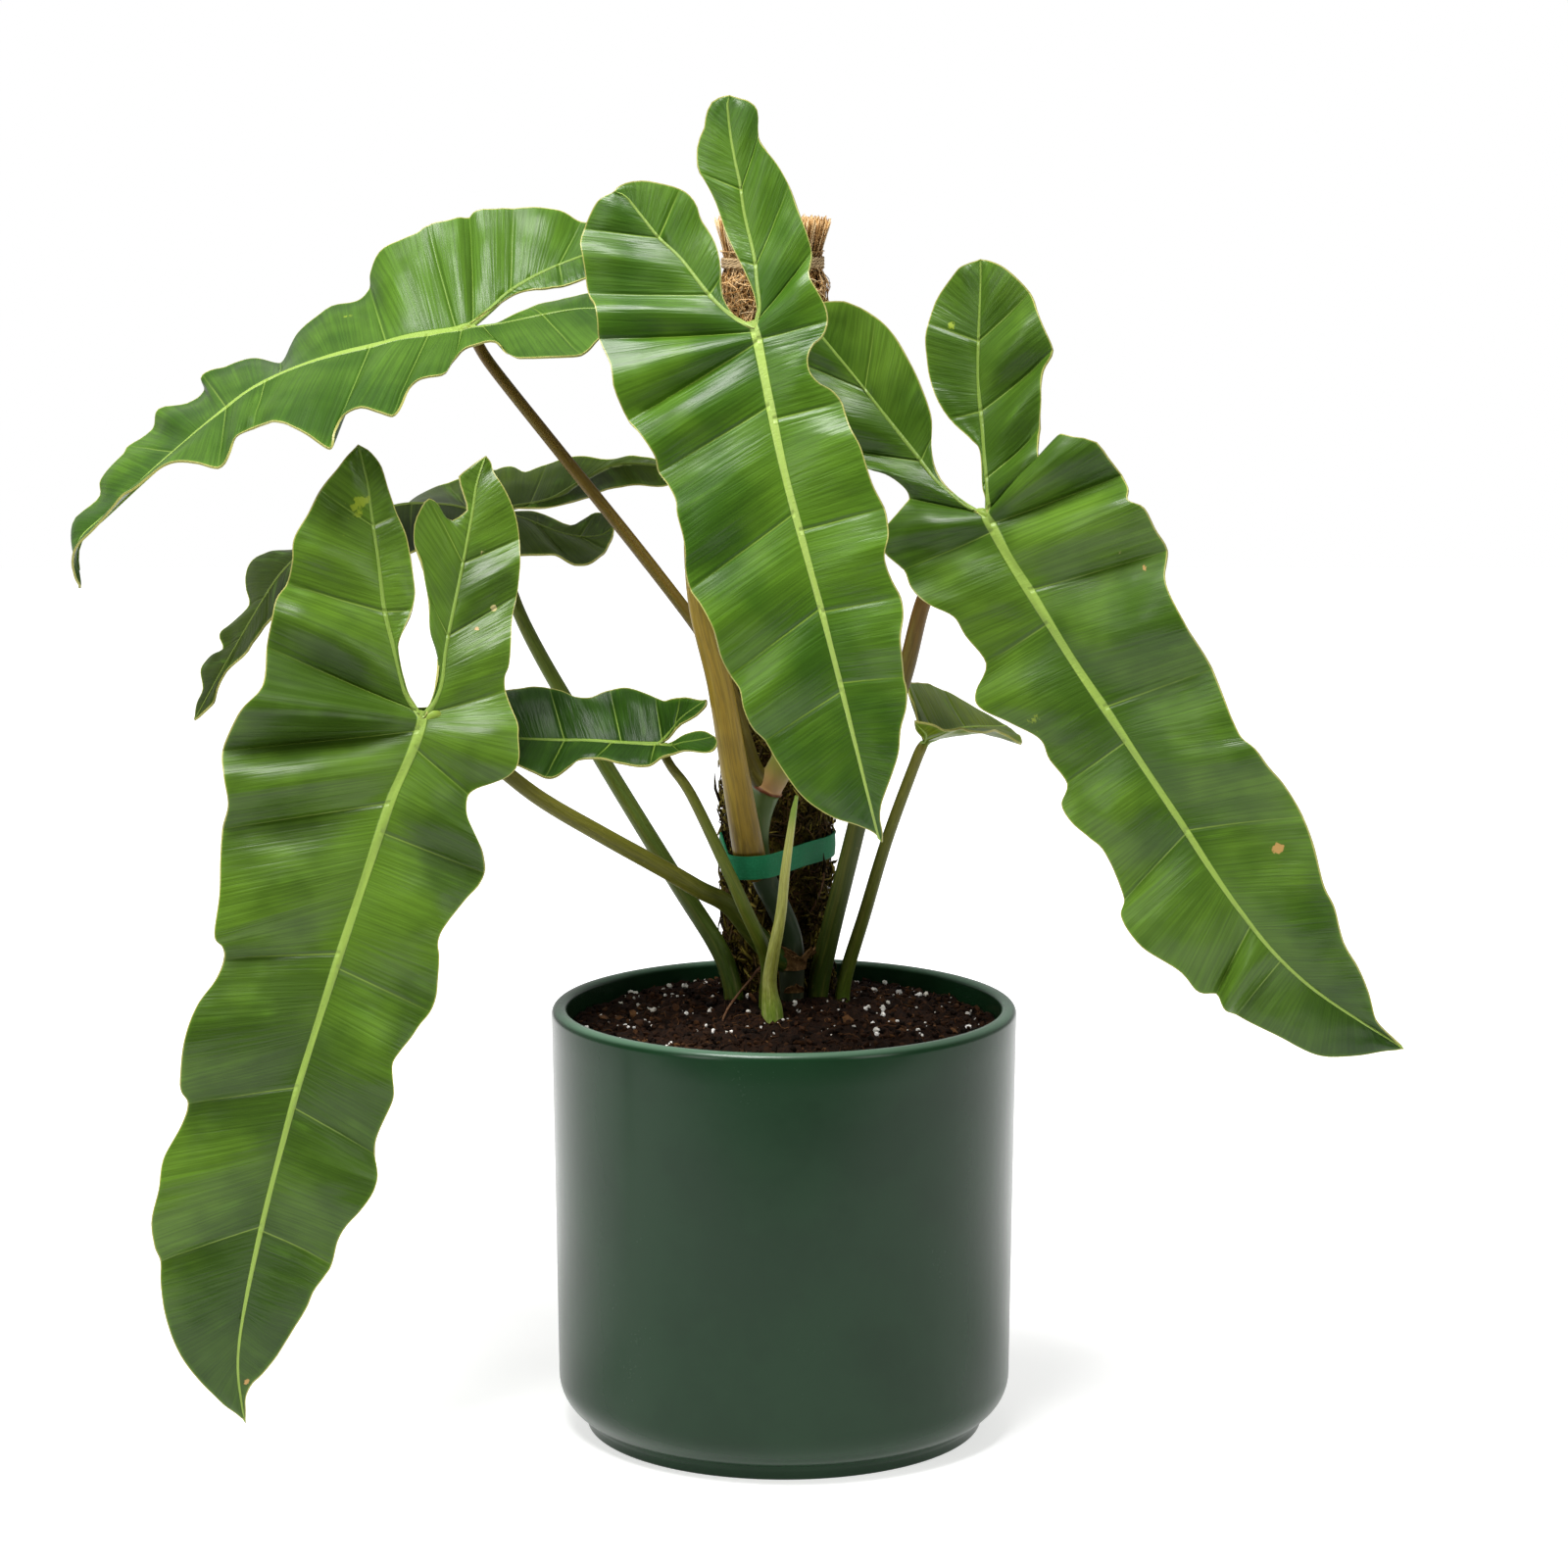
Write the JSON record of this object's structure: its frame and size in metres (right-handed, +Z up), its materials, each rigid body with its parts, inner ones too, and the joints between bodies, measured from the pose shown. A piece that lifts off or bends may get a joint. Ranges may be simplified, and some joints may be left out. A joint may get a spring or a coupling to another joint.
{
  "type": "potted philodendron plant",
  "caption": "Climbing house plant with long waved arrow-shaped leaves on arching stalks, tied to an upright fibre pole in a round dark green glazed pot filled with soil.",
  "frame": {"origin": "centre of the pot's flat foot, on the surface it stands on", "axes": "+Z up, -Y towards the front of the plant, +X to the right seen from the front"},
  "size_m": [0.6645, 0.3057, 0.6853],
  "materials": {
    "pot_glaze": "satin",
    "soil": "matte",
    "stake_wood": "matte",
    "moss": "matte",
    "coir": "matte",
    "twine": "matte",
    "tie_fabric": "matte",
    "stem": "satin",
    "shoot": "satin",
    "leaf": "satin"
  },
  "bodies": {
    "root": {"pot": "pot_glaze", "soil": "soil", "pole_stake": "stake_wood", "pole_moss": "moss", "pole_coir": "coir", "twine": "twine", "tie": "tie_fabric", "stem": "stem", "shoot": "shoot", "leaf_front": "leaf", "leaf_drooping_left": "leaf", "leaf_right": "leaf", "leaf_upper_left": "leaf", "leaf_back_left": "leaf", "leaf_small_left": "leaf", "leaf_small_right": "leaf"}
  },
  "joints": []
}
